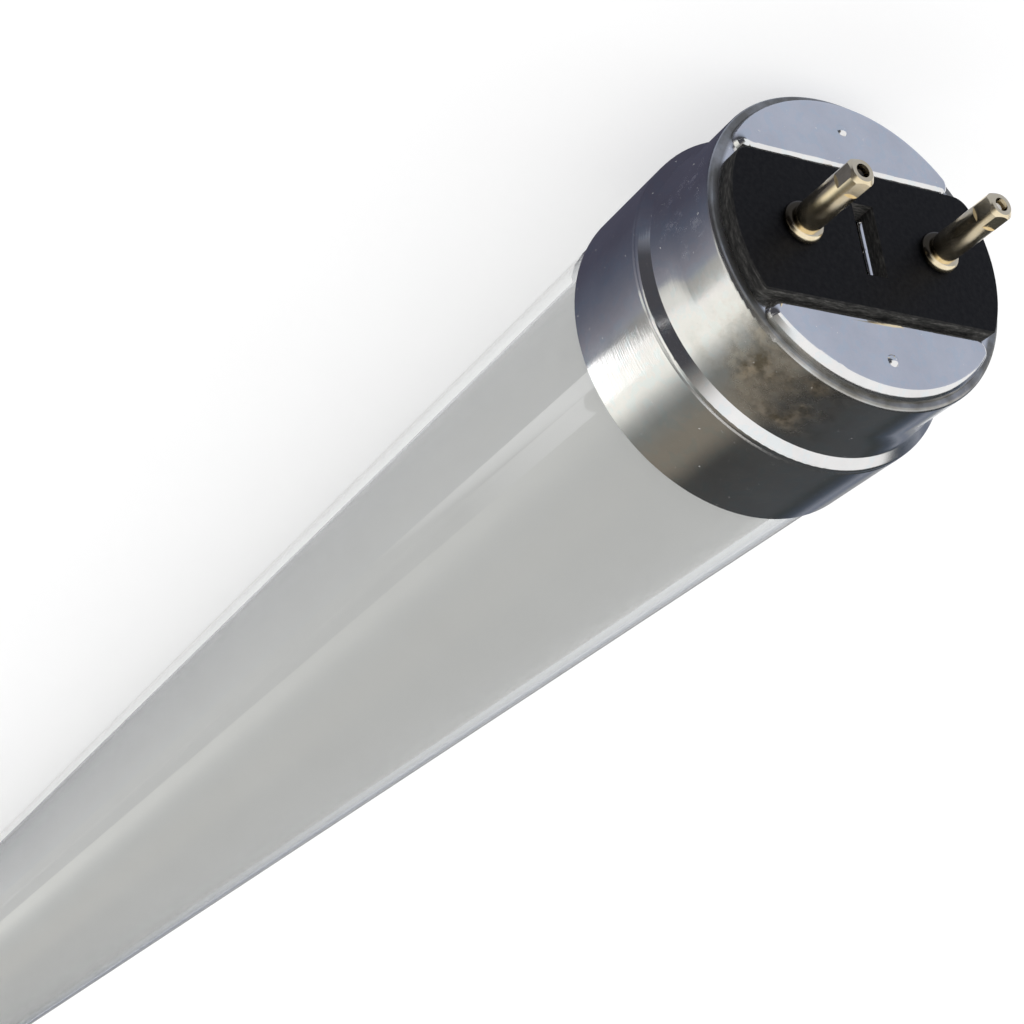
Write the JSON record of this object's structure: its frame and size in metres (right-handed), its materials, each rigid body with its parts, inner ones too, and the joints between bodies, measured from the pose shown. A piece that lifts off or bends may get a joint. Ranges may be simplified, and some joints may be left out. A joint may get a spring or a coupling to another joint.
{
  "type": "led tube",
  "caption": "Straight frosted glass LED tube lamp, with aluminium end caps and contact pins that plug into lamp holders.",
  "frame": {"origin": "middle of the lamp's axis, half way between the outer faces of the insulating plates", "axes": "+X along the tube towards the cap at the driver end, +Y along each pair of pins, +Z towards the side that gives light"},
  "size_m": [0.6038, 0.0288, 0.0288],
  "materials": {
    "glass": "clear, polished",
    "diffuser": "matte, milky",
    "cap_metal": "drawn sheet, fine circling lines",
    "black_plate": "satin face, fibrous cut edges",
    "fibre_board": "matte",
    "cap_cement": "matte",
    "pin_metal": "nickel plated",
    "strip_metal": "white solder mask",
    "silicone": "matte, translucent",
    "led_case": "gloss",
    "led_phosphor": "matte",
    "sleeve": "smooth film",
    "circuit_board": "solder mask",
    "fuse": "lacquered",
    "film_capacitor": "lacquered",
    "capacitor_can": "shrunk sleeve",
    "ferrite": "sintered",
    "winding": "enamelled copper",
    "chip": "moulded",
    "wire_black": "satin",
    "wire_white": "satin",
    "wire_red": "satin"
  },
  "bodies": {
    "root": {"glass_tube": "glass", "diffuser_film": "diffuser", "led_strip": "strip_metal", "strip_adhesive": "silicone", "led_cases": "led_case", "led_phosphor": "led_phosphor", "driver_sleeve": "sleeve", "driver_board": "circuit_board", "fuse_resistor": "fuse", "film_capacitor": "film_capacitor", "bulk_capacitor": "capacitor_can", "output_capacitor": "capacitor_can", "choke_core": "ferrite", "choke_winding": "winding", "bridge_rectifier": "chip", "driver_chip": "chip", "output_diode": "chip", "live_lead_front": "wire_black", "live_lead_rear": "wire_white", "pin_link": "wire_white", "output_lead_positive": "wire_red", "output_lead_negative": "wire_black", "right_cap": "cap_metal", "right_insulating_plate": "black_plate", "right_inner_insulator": "fibre_board", "right_cap_adhesive": "cap_cement", "right_front_pin": "pin_metal", "right_rear_pin": "pin_metal", "left_cap": "cap_metal", "left_insulating_plate": "black_plate", "left_inner_insulator": "fibre_board", "left_cap_adhesive": "cap_cement", "left_front_pin": "pin_metal", "left_rear_pin": "pin_metal"}
  },
  "joints": []
}
